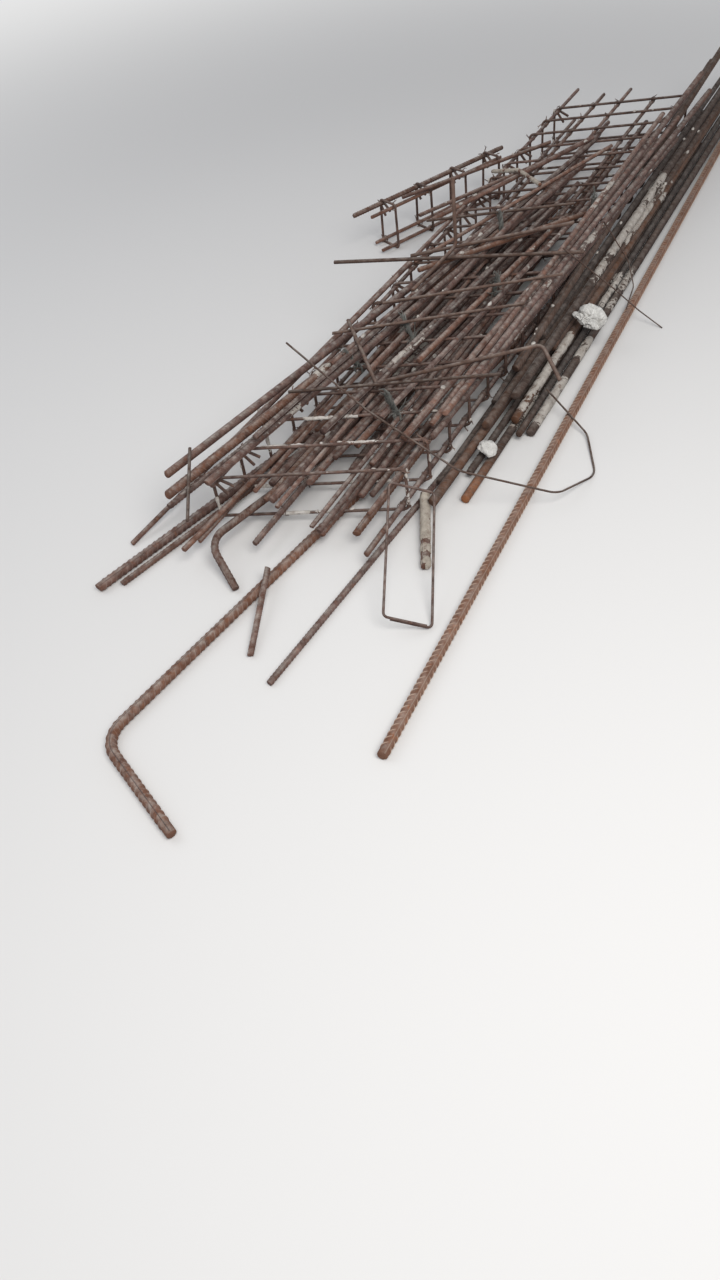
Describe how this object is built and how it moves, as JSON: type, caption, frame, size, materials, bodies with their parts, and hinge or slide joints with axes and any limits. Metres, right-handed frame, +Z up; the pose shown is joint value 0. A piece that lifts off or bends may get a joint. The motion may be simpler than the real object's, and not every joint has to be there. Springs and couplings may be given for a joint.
{
  "type": "rebar bundle",
  "caption": "Heap of salvaged reinforcement bars lying on the ground: a tied flat beam cage with bars pushed through it, loose bars fanned around it, a bent bar, stirrups and wire.",
  "frame": {"origin": "centre of the bottom of the heap's box, on the ground", "axes": "+X along the bars towards the heap's far, narrow end, +Y to the left, +Z up"},
  "size_m": [3.6435, 1.0508, 0.4369],
  "materials": {
    "cement_film": "rust under a film of dried cement, matt",
    "concrete": "broken concrete, rough",
    "dark_rust": "dark brown rust, matt, ribbed",
    "dusty_rust": "rust with cement dust, matt, ribbed",
    "orange_rust": "orange mill rust, matt, ribbed",
    "stirrup_rust": "dark brown rust, matt, smooth wire",
    "wire_rust": "brown rust, matt, smooth wire"
  },
  "bodies": {
    "root": {"bent_end_bar": "dark_rust", "cage_bottom_bars": "dark_rust", "cage_stirrups_1": "stirrup_rust", "cage_stirrups_2": "stirrup_rust", "cage_stirrups_3": "stirrup_rust", "cage_top_bars": "dark_rust", "cement_coated_bar": "cement_film", "cement_coated_rod": "cement_film", "cross_rods": "wire_rust", "crossing_bars": "dark_rust", "edge_bar": "orange_rust", "floor_bars": "dark_rust", "hooked_bar": "dark_rust", "hooked_rod": "wire_rust", "inner_bars": "dark_rust", "large_concrete_lump": "concrete", "leaning_stirrup": "stirrup_rust", "left_bars": "dark_rust", "long_wire": "wire_rust", "pushed_in_bars": "dark_rust", "sheaf_lower_bars": "dusty_rust", "sheaf_middle_bars": "dusty_rust", "sheaf_upper_bars": "dusty_rust", "sheaf_wires": "wire_rust", "short_bar": "dark_rust", "shoulder_bars": "dark_rust", "side_cage_bars": "dark_rust", "side_cage_stirrups": "stirrup_rust", "small_concrete_lump": "concrete", "top_bars": "dark_rust", "upper_bars": "dark_rust", "upright_rod": "wire_rust"}
  },
  "joints": []
}
